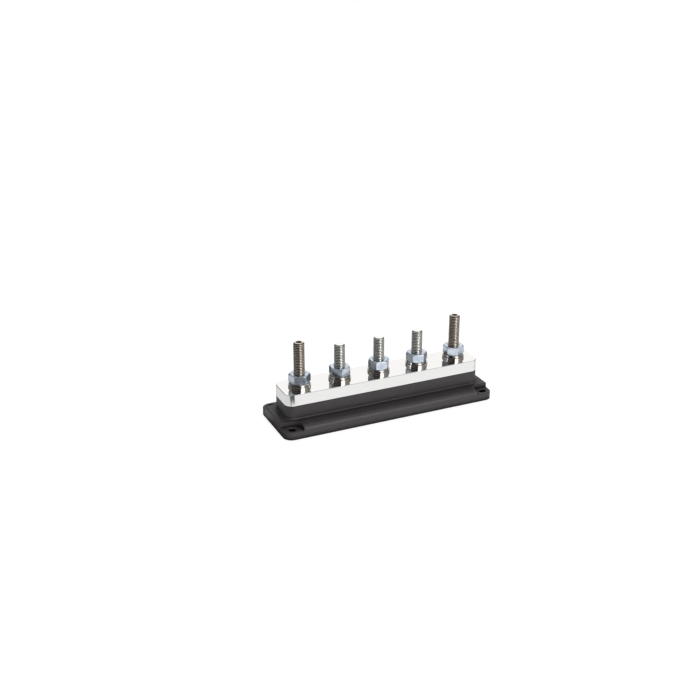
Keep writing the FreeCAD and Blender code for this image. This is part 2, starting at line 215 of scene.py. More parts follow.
def make_thread_tree(name, inside):
    """The wall of a thread that climbs from the origin along Z, on a stud or inside a hole."""
    tree, given = start_tree(
        name,
        length=30 * MM,
        crest_radius=5 * MM,
        root_radius=4 * MM,
        pitch=1.5 * MM,
        phase=0.0,
        start_radius=4 * MM,
        end_radius=4 * MM,
        segments=60,
    )
    do = sum_writer(tree)
    turns = do("ADD", do("CEIL", do("DIVIDE", given["length"], given["pitch"])), SPARE_TURNS)
    rows = do("ADD", do("MULTIPLY", turns, ROWS_PER_TURN), 1.0)
    grid = tree.nodes.new("GeometryNodeMeshGrid")
    feed(tree, grid, {"Vertices X": do("ADD", given["segments"], 1.0), "Vertices Y": rows})

    index = tree.nodes.new("GeometryNodeInputIndex").outputs[0]
    column = do("FLOOR", do("DIVIDE", do("ADD", index, 0.5), rows))
    row = do("SUBTRACT", index, do("MULTIPLY", column, rows))
    turn = do("DIVIDE", column, given["segments"])

    # A point climbs with its row and its column. Beyond an end, or very near it, it goes there.
    climb = do("ADD", do("DIVIDE", do("ADD", row, 0.5), ROWS_PER_TURN), turn)
    climb = do("SUBTRACT", climb, do("FRACT", given["phase"]))
    climb = do("MULTIPLY", do("SUBTRACT", climb, SPARE_TURNS / 2), given["pitch"])
    climb = do("MULTIPLY", climb, do("GREATER_THAN", climb, SNAP))
    to_end = do("SUBTRACT", given["length"], climb)
    to_end = do("MULTIPLY", to_end, do("GREATER_THAN", to_end, SNAP))
    height = do("SUBTRACT", given["length"], to_end)

    # How far the point is from the ridge's crest: 0 on the crest, and 1 in the root.
    place = do("ADD", do("SUBTRACT", do("DIVIDE", height, given["pitch"]), turn), given["phase"])
    from_root = do("ABSOLUTE", do("SUBTRACT", do("FRACT", place), 0.5))
    away = do("SUBTRACT", 1.0, do("MULTIPLY", from_root, 2.0))
    depth = add_spread(tree, away, CREST, ROOT, smooth=True)
    reach = do("SUBTRACT", given["crest_radius"], given["root_radius"])
    radius = do("SUBTRACT", given["crest_radius"], do("MULTIPLY", depth, reach))

    # The cones at the two ends cut a stud's ridge down, and widen a hole.
    choose, slant = ("MAXIMUM", "SUBTRACT") if inside else ("MINIMUM", "ADD")
    radius = do(choose, radius, do(slant, given["start_radius"], height))
    radius = do(choose, radius, do(slant, given["end_radius"], to_end))

    angle = do("MULTIPLY", turn, math.tau)
    x = do("MULTIPLY", radius, do("COSINE", angle))
    y = do("MULTIPLY", radius, do("SINE", angle))
    placed = tree.nodes.new("GeometryNodeSetPosition")
    point = combine(tree, X=x, Y=y, Z=height)
    feed(tree, placed, {"Geometry": grid.outputs["Mesh"], "Position": point})
    merged = tree.nodes.new("GeometryNodeMergeByDistance")
    feed(tree, merged, {"Geometry": placed.outputs[0], "Distance": SAME_POINT})
    wall = merged.outputs[0]
    if inside:
        flipped = add_node(tree, "GeometryNodeFlipFaces", {0: wall})
        wall = flipped.outputs[0]
    return finish_tree(tree, given, wall)


outer_thread = make_thread_tree("outer thread", inside=False)
inner_thread = make_thread_tree("inner thread", inside=True)
print("thread trees:", len(outer_thread.nodes), "and", len(inner_thread.nodes), "nodes")

# %% [markdown]
# ## Washers
# A flat washer is stamped from sheet, so its section is a rectangle with slightly softened edges.
# A spring washer is a piece of wire wound once round, and its two ends face each other across a
# slanted gap. In both, a section that follows a round path gives the ring.

# %% Geometry trees for the two kinds of washer
EDGE_STEPS = 3
# Each washer gives its own sizes in place of these. Only the segments stay.
RING = {"radius": 8 * MM, "ring": 4 * MM, "thickness": 2 * MM, "edge": 0.2 * MM, "segments": 90}


def add_section(tree, given):
    """A rectangle with rounded corners, as wide as the ring is and as tall as it is thick."""
    section = tree.nodes.new("GeometryNodeCurvePrimitiveQuadrilateral")
    feed(tree, section, {"Width": given["ring"], "Height": given["thickness"]})
    rounded = tree.nodes.new("GeometryNodeFilletCurve")
    rounded.mode = "POLY"
    feed(tree, rounded, {"Radius": given["edge"], "Count": EDGE_STEPS})
    feed(tree, rounded, {"Curve": section.outputs["Curve"]})
    return rounded.outputs["Curve"]


def lift(tree, given, mesh):
    """Raises a ring so that it stands on the origin's plane."""
    half = sum_writer(tree)("DIVIDE", given["thickness"], 2.0)
    lifted = tree.nodes.new("GeometryNodeTransform")
    feed(tree, lifted, {"Geometry": mesh, "Translation": combine(tree, Z=half)})
    return lifted.outputs[0]


def make_flat_ring_tree():
    """A closed ring."""
    tree, given = start_tree("flat ring", **RING)
    path = tree.nodes.new("GeometryNodeCurvePrimitiveCircle")
    feed(tree, path, {"Resolution": given["segments"], "Radius": given["radius"]})
    swept = tree.nodes.new("GeometryNodeCurveToMesh")
    section = add_section(tree, given)
    feed(tree, swept, {"Curve": path.outputs["Curve"], "Profile Curve": section})
    return finish_tree(tree, given, lift(tree, given, swept.outputs[0]))


def make_split_ring_tree():
    """A ring with a gap. Lean says how far the gap shifts over the ring's thickness."""
    tree, given = start_tree("split ring", **RING, gap=0.9 * MM, lean=1.4 * MM)
    do = sum_writer(tree)
    half_gap = do("DIVIDE", do("DIVIDE", given["gap"], 2.0), given["radius"])
    path = tree.nodes.new("GeometryNodeCurveArc")
    feed(tree, path, {"Resolution": given["segments"], "Radius": given["radius"]})
    sweep = do("SUBTRACT", math.tau, do("MULTIPLY", half_gap, 2.0))
    feed(tree, path, {"Start Angle": do("ADD", half_gap, math.pi / 2), "Sweep Angle": sweep})
    swept = tree.nodes.new("GeometryNodeCurveToMesh")
    feed(tree, swept, {"Curve": path.outputs["Curve"], "Fill Caps": True})
    feed(tree, swept, {"Profile Curve": add_section(tree, given)})

    # Each point turns about the axis by an angle that grows with its height, and the ends lean.
    position = tree.nodes.new("GeometryNodeInputPosition").outputs[0]
    slope = do("DIVIDE", do("DIVIDE", given["lean"], given["thickness"]), given["radius"])
    angle = do("MULTIPLY", do("MULTIPLY", split(tree, position)["Z"], slope), -1.0)
    turned = tree.nodes.new("ShaderNodeVectorRotate")
    turned.rotation_type = "Z_AXIS"
    feed(tree, turned, {"Vector": position, "Angle": angle})
    placed = tree.nodes.new("GeometryNodeSetPosition")
    feed(tree, placed, {"Geometry": swept.outputs[0], "Position": turned.outputs[0]})
    return finish_tree(tree, given, lift(tree, given, placed.outputs[0]))


flat_ring = make_flat_ring_tree()
split_ring = make_split_ring_tree()
print("washer trees:", len(flat_ring.nodes), "and", len(split_ring.nodes), "nodes")

# %% [markdown]
# ## Hexagons
# A hexagon nut is turned at both ends, so its corners end in curved edges where a shallow cone
# meets the flat sides. Here the shape is built from rings of points round the axis. A ring's radius
# follows the hexagon on the sides, and its height follows the cone at the ends.
#
# Its edges are bevelled a little afterwards. Real edges are never perfectly sharp, and on metal it
# is the narrow bevel that catches the light.

# %% The outside of a nut or of a stud's head
SEGMENTS = 60
LAND = 0.4765
CHAMFER_SLOPE = math.tan(math.radians(30))
IN_ONE_PLANE = math.radians(1)
SHARP_EDGE = math.radians(40)
SOFT_EDGE = 0.14 * MM


def add_ring(shape, radius, height):
    """A ring of points, whose radius and height are numbers or functions of the angle."""
    ring = []
    for step in range(SEGMENTS):
        angle = math.tau * step / SEGMENTS
        reach = radius(angle) if callable(radius) else radius
        level = height(angle) if callable(height) else height
        ring.append(shape.verts.new((reach * math.cos(angle), reach * math.sin(angle), level)))
    return ring


def join_rings(shape, rings):
    """Faces between each ring, or point on the axis, and the next. They point outwards going up."""
    for lower, upper in zip(rings, rings[1:]):
        for step in range(SEGMENTS):
            following = (step + 1) % SEGMENTS
            if len(lower) == 1:
                shape.faces.new((lower[0], upper[following], upper[step]))
            elif len(upper) == 1:
                shape.faces.new((lower[step], lower[following], upper[0]))
            else:
                shape.faces.new((lower[step], lower[following], upper[following], upper[step]))


def hexagon_shell(across_flats, tall, low_hole, high_hole):
    """A hexagon with turned corners and a round opening at each end, on the origin's plane."""
    land = across_flats * LAND

    def side(angle):
        off_middle = angle % math.radians(60) - math.radians(30)
        return across_flats / 2 / math.cos(off_middle)

    def drop(angle):
        return (side(angle) - land) * CHAMFER_SLOPE

    shape = bmesh.new()
    rings = [
        add_ring(shape, low_hole, 0),
        add_ring(shape, land, 0),
        add_ring(shape, side, drop),
        add_ring(shape, side, lambda angle: tall - drop(angle)),
        add_ring(shape, land, tall),
        add_ring(shape, high_hole, tall),
    ]
    join_rings(shape, rings)

    # The faces of one flat side lie in one plane, so the upright edges between them can go.
    low, high = rings[2], rings[3]
    upright = [edge for edge in shape.edges if edge.verts[0] in low and edge.verts[1] in high]
    bmesh.ops.dissolve_limit(shape, angle_limit=IN_ONE_PLANE, verts=[], edges=upright)
    sharp = [edge for edge in shape.edges if edge.calc_face_angle(0) > SHARP_EDGE]
    bmesh.ops.bevel(shape, geom=sharp, offset=SOFT_EDGE, segments=2, profile=0.5, affect="EDGES")
    return shape


# %% [markdown]
# ## Joining walls into closed pieces
# A stud is a head, a plain shank, a threaded wall and an end, and a nut is a hexagon and a threaded
# bore. The parts meet in circles with the same points, so merging those points closes the piece.
# Edges between faces that meet at a clear angle are marked sharp, and the rest are shaded smooth.
# In a thread the faces follow a rounded section, so there only the very sharp edges count.

# %% Join parts, check them and put them in the scene
SMOOTH_BELOW = math.radians(14)
SMOOTH_IN_THREADS = math.radians(42)
JOIN_WITHIN = 0.002 * MM


def add_thread(shape, tree, bottom, **sizes):
    """Adds a thread's wall to a bmesh, from this height up."""
    wall = run_tree(tree, segments=SEGMENTS, **sizes)
    wall.transform(Matrix.Translation((0, 0, bottom)))
    shape.from_mesh(wall)
    bpy.data.meshes.remove(wall)


def revolve(shape, corners):
    """Turns a line of (radius, height) corners about the axis, and closes it where it meets it."""
    rings = []
    for radius, height in corners:
        if radius > 0:
            rings.append(add_ring(shape, radius, height))
        else:
            rings.append([shape.verts.new((0, 0, height))])
    join_rings(shape, rings)


def close(shape, in_thread):
    """Merges the points where parts meet, marks sharp edges and counts the edges still open."""
    bmesh.ops.remove_doubles(shape, verts=shape.verts, dist=JOIN_WITHIN)
    loose = [edge for edge in shape.edges if not edge.link_faces]
    bmesh.ops.delete(shape, geom=loose, context="EDGES")
    for edge in shape.edges:
        threaded = all(in_thread(point.co) for point in edge.verts)
        limit = SMOOTH_IN_THREADS if threaded else SMOOTH_BELOW
        edge.smooth = edge.calc_face_angle(0) < limit
    return sum(1 for edge in shape.edges if len(edge.link_faces) != 2)


def place_piece(name, mesh, place, body, node, finish):
    """Puts a finished mesh in the scene for the CAD node that it stands for."""
    mesh.transform(place)
    mesh.polygons.foreach_set("use_smooth", [True] * len(mesh.polygons))
    mesh.materials.clear()
    mesh.materials.append(finish)
    mesh.name = name
    piece = bpy.data.objects.new(name, mesh)
    bpy.context.scene.collection.objects.link(piece)
    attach(piece, body)
    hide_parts(node)
    return piece


def to_mesh(shape, name):
    """A mesh made from a bmesh, which is then freed."""
    mesh = bpy.data.meshes.new(name)
    shape.to_mesh(mesh)
    shape.free()
    return mesh


# %% [markdown]
# ## Finishes
# The base is moulded plastic, the bar is plated, and the small parts are stainless or zinc-plated
# steel. Their finishes share a few effects, so each effect is a node group that is built once:
#
# - mottle: slow, cloudy changes over the surface
# - grain: fine streaks along one direction, left by rolling, drawing or brushing
# - worn edge: a mask that is bright where the surface turns sharply
# - crevice shade: a mask that is bright in inner corners, where little light comes in, used for
#   painted shade
# - round the stud: the distance from the nearest stud's axis and the direction about it

# %% Start a shader group, and read a place, a direction or noise
# Blender's noise could go from 0 to 1, but it seldom leaves this range.
NOISE_RANGE = (0.3, 0.7)


def start_group(name, inputs, outputs):
    """A shader group with named inputs and outputs."""
    group = bpy.data.node_groups.new(name, "ShaderNodeTree")
    for label, value in inputs.items():
        kind = "NodeSocketVector" if isinstance(value, tuple) else "NodeSocketFloat"
        group.interface.new_socket(label, in_out="INPUT", socket_type=kind).default_value = value
    for label in outputs:
        group.interface.new_socket(label, in_out="OUTPUT", socket_type="NodeSocketFloat")
    given = group.nodes.new("NodeGroupInput").outputs
    result = group.nodes.new("NodeGroupOutput").inputs
    return group, given, result


def object_place(tree):
    """The place on the piece, which moves with it."""
    return tree.nodes.new("ShaderNodeTexCoord").outputs["Object"]


def true_normal(tree):
    """The direction that the surface itself faces."""
    return tree.nodes.new("ShaderNodeNewGeometry").outputs["True Normal"]


def add_match(tree, first, second):
    """How far one vector lies along another."""
    match = add_node(tree, "ShaderNodeVectorMath", {0: first, 1: second}, operation="DOT_PRODUCT")
    return match.outputs["Value"]


def add_noise(tree, place, scale, detail=3.0, roughness=0.55):
    """A noise pattern from 0 to 1."""
    noise = tree.nodes.new("ShaderNodeTexNoise")
    feed(tree, noise, {"Vector": place, "Scale": scale, "Detail": detail, "Roughness": roughness})
    return noise.outputs["Fac"]


# %% Mottle
def make_mottle():
    """Clouds of one size, with smaller ones in them."""
    group, given, result = start_group("mottle", {"size": 8 * MM, "contrast": 0.5}, ["value"])
    do = sum_writer(group)
    clouds = add_noise(group, object_place(group), do("DIVIDE", 1.0, given["size"]), detail=4.0)
    half = do("MULTIPLY", given["contrast"], 0.5)
    low, high = do("SUBTRACT", 0.5, half), do("ADD", 0.5, half)
    value = add_spread(group, clouds, *NOISE_RANGE, low, high)
    group.links.new(value, result["value"])
    return group


mottle = make_mottle()

# %% Grain
def make_grain():
    """Streaks, whose input says how often they change along each axis."""
    inputs = {"changes per mm": (0.05, 4.0, 4.0)}
    group, given, result = start_group("grain", inputs, ["value", "scratches"])
    values = {0: object_place(group), "Scale": 1 / MM}
    place = add_node(group, "ShaderNodeVectorMath", values, operation="SCALE").outputs[0]
    values = {0: place, 1: given["changes per mm"]}
    place = add_node(group, "ShaderNodeVectorMath", values, operation="MULTIPLY").outputs[0]
    streaks = add_noise(group, place, 1.0, detail=4.0, roughness=0.7)
    group.links.new(add_spread(group, streaks, *NOISE_RANGE), result["value"])
    group.links.new(add_spread(group, streaks, 0.62, 0.72), result["scratches"])
    return group


grain = make_grain()

# %% Worn edge
def make_worn_edge():
    """Compares the surface's own direction with one that is rounded over a small radius."""
    inputs = {"radius": 0.4 * MM, "breaks": 2 * MM}
    group, given, result = start_group("worn edge", inputs, ["mask"])
    do = sum_writer(group)
    rounded = add_node(group, "ShaderNodeBevel", {"Radius": given["radius"]}, samples=6)
    match = add_match(group, rounded.outputs[0], true_normal(group))
    turn = add_spread(group, match, 0.99, 0.85)
    noise = add_noise(group, object_place(group), do("DIVIDE", 1.0, given["breaks"]), detail=4.0)
    kept = add_spread(group, noise, 0.35, 0.65, 0.25, 1.0)
    group.links.new(do("MULTIPLY", turn, kept), result["mask"])
    return group


worn_edge = make_worn_edge()

# %% Crevice
def make_crevice():
    """Looks how much of the surroundings other surfaces hide within a reach."""
    group, given, result = start_group("crevice", {"reach": 5 * MM}, ["mask"])
    hidden = group.nodes.new("ShaderNodeAmbientOcclusion")
    hidden.samples = 8
    group.links.new(given["reach"], hidden.inputs["Distance"])
    group.links.new(add_spread(group, hidden.outputs["AO"], 0.92, 0.45), result["mask"])
    return group


crevice = make_crevice()

# %% Round the stud
STUD_PITCH = middle("nut_2").x - middle("nut_1").x


def make_round_the_stud():
    """The studs stand in a row, so the place along the row repeats at their pitch."""
    group, _, result = start_group("round the stud", {}, ["distance", "turn"])
    do = sum_writer(group)
    place = split(group, object_place(group))
    row = do("DIVIDE", do("SUBTRACT", place["X"], middle("nut_3").x), STUD_PITCH)
    along = do("MULTIPLY", do("SUBTRACT", row, do("ROUND", row)), STUD_PITCH)
    across = place["Y"]
    squares = do("ADD", do("MULTIPLY", along, along), do("MULTIPLY", across, across))
    group.links.new(do("SQRT", squares), result["distance"])
    group.links.new(do("ARCTAN2", across, along), result["turn"])
    return group


round_the_stud = make_round_the_stud()
effects = [group.name for group in bpy.data.node_groups if group.type == "SHADER"]
print("shared effects:", ", ".join(effects))

# %% [markdown]
# ## Building a material
# A material here starts with a Principled BSDF whose plain numbers are set on its own sockets. The
# effects are then joined to its colour, its roughness and a Bump node. A few helpers keep each
# recipe short.

# %% Helpers for a material
def start_material(name, label, value):
    """A material with a Principled BSDF, one of whose sockets gets a plain value."""
    material = bpy.data.materials.new(name)
    material.use_nodes = True
    tree = material.node_tree
    shader = next(node for node in tree.nodes if node.type == "BSDF_PRINCIPLED")
    shader.inputs[label].default_value = value
    return material, tree, shader


def use(tree, group, **values):
    """Places a shared effect in a material, with this material's values."""
    node = tree.nodes.new("ShaderNodeGroup")
    node.node_tree = group
    feed(tree, node, {label.replace("_", " "): value for label, value in values.items()})
    return node.outputs


def mix_colours(tree, mask, first, second):
    """One colour where the mask is 0 and the other where it is 1."""
    node = add_node(tree, "ShaderNodeMix", {"Factor": mask}, data_type="RGBA")
    # A Mix node has sockets for each kind of data: for colours they are 6 and 7, and output 2.
    for index, colour in ((6, first), (7, second)):
        plain = isinstance(colour, tuple)
        feed(tree, node, {index: (*colour, 1.0) if plain else colour})
    return node.outputs[2]


def add_bump(tree, shader, height, depth):
    """Raises and sinks the surface by a height from 0 to 1, times a depth."""
    node = add_node(tree, "ShaderNodeBump", {"Strength": 1.0, "Distance": depth, "Height": height})
    feed(tree, shader, {"Normal": node.outputs[0]})


def add_streaks_round(tree, per_mm_round, per_mm_up, radius):
    """Streaks that run round or up a round piece, made from noise on its unrolled side."""
    do = sum_writer(tree)
    around = use(tree, round_the_stud)
    x = do("MULTIPLY", around["turn"], radius / MM * per_mm_round)
    y = do("MULTIPLY", split(tree, object_place(tree))["Z"], per_mm_up / MM)
    z = do("MULTIPLY", around["distance"], per_mm_up / MM)
    return add_noise(tree, combine(tree, X=x, Y=y, Z=z), 1.0, roughness=0.65)


# %% [markdown]
# ## The base's plastic
# The mould's walls were spark-eroded, so the plastic has a fine, even grain that spreads its shine.
# It isn't quite black. Its edges, which are rubbed in use, are a little paler and smoother. Its
# inner corners are painted darker and shine less, as painted shade.

# %% Moulded plastic for the base
PLASTIC_SHADES = (0.0365, 0.0330, 0.0345), (0.0430, 0.0390, 0.0405)
PLASTIC_PATCHES = (0.0215, 0.0190, 0.0200)
PLASTIC_WORN = (0.062, 0.058, 0.061)
# The near-black colour that inner corners are painted with, as painted shade.
PLASTIC_PAINTED_SHADE = (0.0045, 0.0042, 0.0045)


def make_moulded_plastic():
    """Dark plastic with a fine grain."""
    material, tree, shader = start_material("moulded plastic", "IOR", 1.49)
    do = sum_writer(tree)
    clouds = use(tree, mottle, size=14 * MM, contrast=0.9)["value"]
    specks = add_noise(tree, object_place(tree), 1 / (0.22 * MM), detail=2.0)
    patches = add_noise(tree, object_place(tree), 1 / (1.1 * MM), detail=2.0)
    patches = add_spread(tree, patches, *NOISE_RANGE)
    edge = use(tree, worn_edge, radius=0.5 * MM, breaks=3 * MM)["mask"]
    corner = use(tree, crevice, reach=8 * MM)["mask"]
    colour = mix_colours(tree, clouds, *PLASTIC_SHADES)
    colour = mix_colours(tree, do("MULTIPLY", patches, 0.6), colour, PLASTIC_PATCHES)
    colour = mix_colours(tree, do("MULTIPLY", edge, 0.35), colour, PLASTIC_WORN)
    # Painted shade: where the occlusion mask is high, the colour goes near black and the shine
    # drops.
    corner_shade = do("MULTIPLY", do("MULTIPLY", corner, corner), 0.95)
    colour = mix_colours(tree, corner_shade, colour, PLASTIC_PAINTED_SHADE)
    shine = add_spread(tree, corner, 0.2, 0.8, 0.42, 0.0)
    roughness = add_spread(tree, clouds, 0.0, 1.0, 0.42, 0.49)
    roughness = do("ADD", roughness, do("MULTIPLY", specks, 0.05))
    roughness = do("SUBTRACT", roughness, do("MULTIPLY", edge, 0.06))
    feed(tree, shader, {"Base Color": colour, "Roughness": roughness, "Specular IOR Level": shine})
    add_bump(tree, shader, do("ADD", specks, patches), 0.014 * MM)
    return material


# %% [markdown]
# ## The bar's plating
# The bar's broad faces are polished until they mirror the washers. Its narrow sides keep the fine
# lengthways lines of the drawn strip, and are painted a darker grey as painted shade. The surface's
# own direction tells the two apart, so one material serves the whole bar.

# %% Plating for the bar
PLATING_TOP = (0.925, 0.910, 0.890), (0.950, 0.935, 0.915)
# The narrow sides' greyer colours are painted shade, and the drawn lines run between the two.
PLATING_SHADED_SIDE = (0.80, 0.795, 0.79), (0.88, 0.875, 0.87)
PLATING_WORN = (0.95, 0.95, 0.95)


def make_plating():
    """Bright plating, polished on the broad faces and finely lined on the narrow sides, painted
    greyer as shade.
    """
    material, tree, shader = start_material("bright plating", "Metallic", 1.0)
    do = sum_writer(tree)
    on_side = add_spread(tree, do("ABSOLUTE", split(tree, true_normal(tree))["Z"]), 0.95, 0.6)
    lines = use(tree, grain, changes_per_mm=(0.03, 1.5, 5.0))["value"]
    hairs = use(tree, grain, changes_per_mm=(0.15, 9.0, 9.0))
    clouds = use(tree, mottle, size=22 * MM, contrast=0.8)["value"]
    edge = use(tree, worn_edge, radius=0.35 * MM, breaks=4 * MM)["mask"]
    top_colour = mix_colours(tree, clouds, *PLATING_TOP)
    shaded_side_colour = mix_colours(tree, lines, *PLATING_SHADED_SIDE)
    # Painted shade: the narrow sides get a greyer colour than the broad faces.
    colour = mix_colours(tree, on_side, top_colour, shaded_side_colour)
    colour = mix_colours(tree, do("MULTIPLY", edge, 0.4), colour, PLATING_WORN)
    top = add_spread(tree, clouds, 0.2, 0.8, 0.035, 0.06)
    top = do("ADD", top, do("MULTIPLY", hairs["scratches"], 0.05))
    side = add_spread(tree, lines, 0.0, 1.0, 0.07, 0.11)
    both = add_node(tree, "ShaderNodeMix", {"Factor": on_side, "A": top, "B": side})
    feed(tree, shader, {"Base Color": colour, "Roughness": both.outputs["Result"]})
    height = do("ADD", do("MULTIPLY", lines, on_side), do("MULTIPLY", hairs["value"], 0.05))
    add_bump(tree, shader, height, 0.004 * MM)
    return material


# %% [markdown]
# ## Stainless steel
# The threads are rolled, which leaves the crests bright. Their flanks and roots are painted darker
# as painted shade, by the distance from the stud's axis, and the flat end stays bright all over. The
# washers have fine streaks: across the rim where the press sheared them, or along the wire.

# %% Steel for the studs and washers
# A stud's colours are its crests' and the painted shade in its roots; a washer's are bright and
# dull.
WARM_STEEL = (0.82, 0.75, 0.67), (0.11, 0.085, 0.065)
COOL_STEEL = (0.98, 0.98, 0.94), (0.22, 0.22, 0.20)
STAMPED_STEEL = (0.66, 0.63, 0.595), (0.42, 0.39, 0.35)
DRAWN_STEEL = (0.66, 0.64, 0.61), (0.42, 0.40, 0.38)


def make_rolled_steel(name, crest, root):
    """Steel for a stud, painted darker the deeper it lies in the thread, as painted shade."""
    material, tree, shader = start_material(name, "Metallic", 1.0)
    do = sum_writer(tree)
    distance = use(tree, round_the_stud)["distance"]
    on_wall = add_spread(tree, split(tree, true_normal(tree))["Z"], 0.99, 0.975)
    depth = add_spread(tree, distance, stud_radius * 0.985, stud_radius * 0.895)
    depth = do("MULTIPLY", on_wall, depth)
    clouds = use(tree, mottle, size=5 * MM, contrast=0.9)["value"]
    streaks = add_streaks_round(tree, 0.25, 6.0, stud_radius)
    # Painted shade: the thread's flanks and roots take the dark root colour, darker the deeper they
    # lie.
    root_shade = do("MULTIPLY", depth, add_spread(tree, clouds, 0.1, 0.9, 0.75, 1.0))
    roughness = add_spread(tree, streaks, *NOISE_RANGE, 0.13, 0.20)
    roughness = do("ADD", roughness, do("MULTIPLY", root_shade, 0.08))
    colour = mix_colours(tree, root_shade, crest, root)
    feed(tree, shader, {"Base Color": colour, "Roughness": roughness})
    add_bump(tree, shader, streaks, 0.004 * MM)
    return material


def make_washer_steel(name, bright, dull, per_mm_round, per_mm_up):
    """Steel for a washer, with streaks that change this often round it and up it."""
    material, tree, shader = start_material(name, "Metallic", 1.0)
    do = sum_writer(tree)
    clouds = use(tree, mottle, size=4 * MM, contrast=1.0)["value"]
    streaks = add_streaks_round(tree, per_mm_round, per_mm_up, stud_radius * 2)
    scratches = use(tree, grain, changes_per_mm=(0.8, 6.0, 6.0))["scratches"]
    edge = use(tree, worn_edge, radius=0.25 * MM, breaks=1.5 * MM)["mask"]
    colour = mix_colours(tree, do("MULTIPLY", clouds, streaks), dull, bright)
    colour = mix_colours(tree, do("MULTIPLY", edge, 0.6), colour, bright)
    roughness = add_spread(tree, streaks, *NOISE_RANGE, 0.08, 0.14)
    roughness = do("ADD", roughness, do("MULTIPLY", scratches, 0.08))
    feed(tree, shader, {"Base Color": colour, "Roughness": roughness})
    add_bump(tree, shader, do("ADD", streaks, do("MULTIPLY", scratches, -0.4)), 0.005 * MM)
    return material


# %% [markdown]
# ## Zinc for the nuts
# The nuts are plated with zinc and passivated, which gives them a cool, faintly blue shine that
# changes from place to place. Fine turning rings show on their chamfered ends.

# %% Zinc plating for the nuts
ZINC_SHADES = (0.47, 0.545, 0.655), (0.74, 0.80, 0.86)
ZINC_WORN = (0.86, 0.88, 0.90)
TURNING_RINGS = 0.16 * MM


def make_zinc():
    """Bluish zinc, with turning rings on the nut's ends."""
    material, tree, shader = start_material("blue zinc", "Metallic", 1.0)
    do = sum_writer(tree)
    distance = use(tree, round_the_stud)["distance"]
    rings = do("SINE", do("MULTIPLY", distance, math.tau / TURNING_RINGS))
    on_end = add_spread(tree, do("ABSOLUTE", split(tree, true_normal(tree))["Z"]), 0.3, 0.6)
    rings = do("MULTIPLY", add_spread(tree, rings, -1.0, 1.0), on_end)
    clouds = use(tree, mottle, size=5 * MM, contrast=1.0)["value"]
    drawn = use(tree, grain, changes_per_mm=(3.0, 3.0, 0.2))["value"]
    edge = use(tree, worn_edge, radius=0.3 * MM, breaks=1.5 * MM)["mask"]
    colour = mix_colours(tree, clouds, *ZINC_SHADES)
    colour = mix_colours(tree, do("MULTIPLY", edge, 0.7), colour, ZINC_WORN)
    roughness = add_spread(tree, clouds, 0.0, 1.0, 0.14, 0.22)
    roughness = do("ADD", roughness, do("MULTIPLY", drawn, 0.07))
    feed(tree, shader, {"Base Color": colour, "Roughness": roughness})
    height = do("ADD", do("MULTIPLY", rings, 0.6), do("MULTIPLY", drawn, 0.4))
    add_bump(tree, shader, height, 0.004 * MM)
    return material


finishes = {
    "base": make_moulded_plastic(),
    "bar": make_plating(),
    "end stud": make_rolled_steel("rolled stainless, warm", *WARM_STEEL),
    "middle stud": make_rolled_steel("rolled stainless, cool", *COOL_STEEL),
    "flat_washer": make_washer_steel("stamped stainless", *STAMPED_STEEL, 3.0, 0.3),
    "spring_washer": make_washer_steel("drawn stainless", *DRAWN_STEEL, 0.15, 4.0),
    "nut": make_zinc(),
}
print("finishes:", ", ".join(material.name for material in finishes.values()))

# %% [markdown]
# ## The base and the bar
# The solids of the base and the bar already have their real shape, with the drafted island, the
# screw recesses and the broken edges. They keep their meshes and only change their finish.

# %% Give the base and the bar their finishes
for node, finish in (("base", "base"), ("bus_bar", "bar")):
    for material_slot in frame["nodes"][node].material_slots:
        material_slot.material = finishes[finish]
    print(node, "has", len(frame["nodes"][node].data.polygons), "faces")

# %% [markdown]
# ## The studs
# Each stud is a hexagon-headed bolt that comes up through the base and the bar. Its head sits in a
# pocket under the base, and only the part that a nut can reach is threaded. The two end studs are
# longer, and their ends are tapped with a smaller thread for the screws that hold a cover.

# %% Make the studs
TAPPED_STUDS = (1, 5)
PITCH = 1.5 * MM
THREAD_BELOW_BAR_TOP = 5 * MM
ROOT_DEPTH = 0.61344 * PITCH
TIP_CHAMFER = 1.1 * MM
HEAD_HEIGHT = 6.4 * MM
HEAD_MIDDLE = 0.4
SMALL_PITCH = 0.8 * MM
DRILL_CONE = 1.3 * MM
HOLE_MOUTH = 0.6 * MM
thread_start = bar_top - THREAD_BELOW_BAR_TOP


